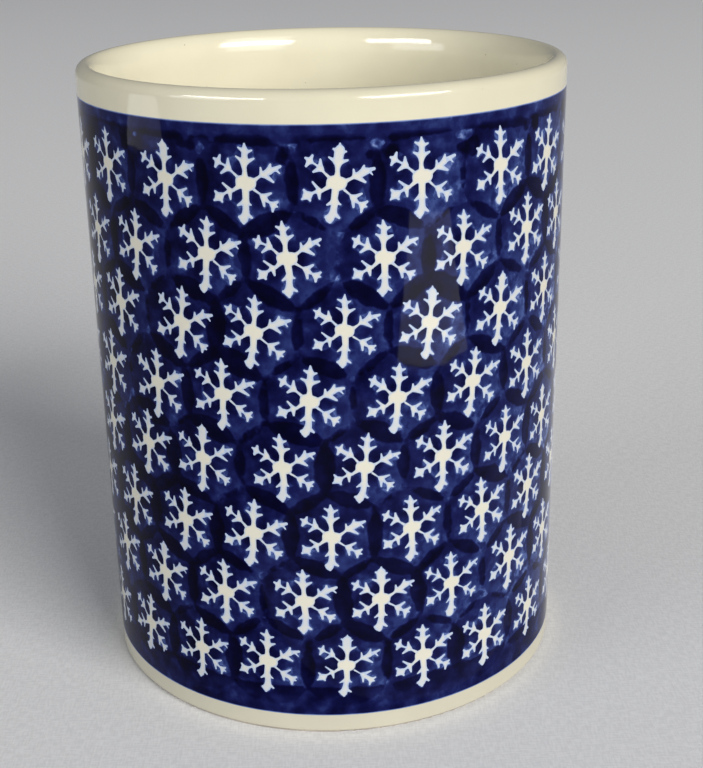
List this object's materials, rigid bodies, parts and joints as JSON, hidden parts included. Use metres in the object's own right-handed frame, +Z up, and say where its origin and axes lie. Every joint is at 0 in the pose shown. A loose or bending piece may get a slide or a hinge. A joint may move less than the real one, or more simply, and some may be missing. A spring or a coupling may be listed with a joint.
{
  "type": "stoneware mug",
  "caption": "Straight-sided stoneware drinking mug without a handle, glazed cream inside and at lip and foot, with a cobalt band of stamped snowflakes.",
  "frame": {"origin": "centre of the circle that the foot ring stands on, at ground height", "axes": "+Z up along the mug's own axis; +Y away from the side that faces the viewer, +X to that viewer's right"},
  "size_m": [0.089, 0.089, 0.116],
  "materials": {
    "bare_stoneware": "matte unglazed",
    "cream_glaze": "gloss",
    "cobalt_glaze": "gloss"
  },
  "bodies": {
    "root": {"stoneware_body": "bare_stoneware", "inside_glaze": "cream_glaze", "lip_glaze": "cream_glaze", "cobalt_band": "cobalt_glaze", "foot_glaze": "cream_glaze", "underside_glaze": "cream_glaze"}
  },
  "joints": []
}
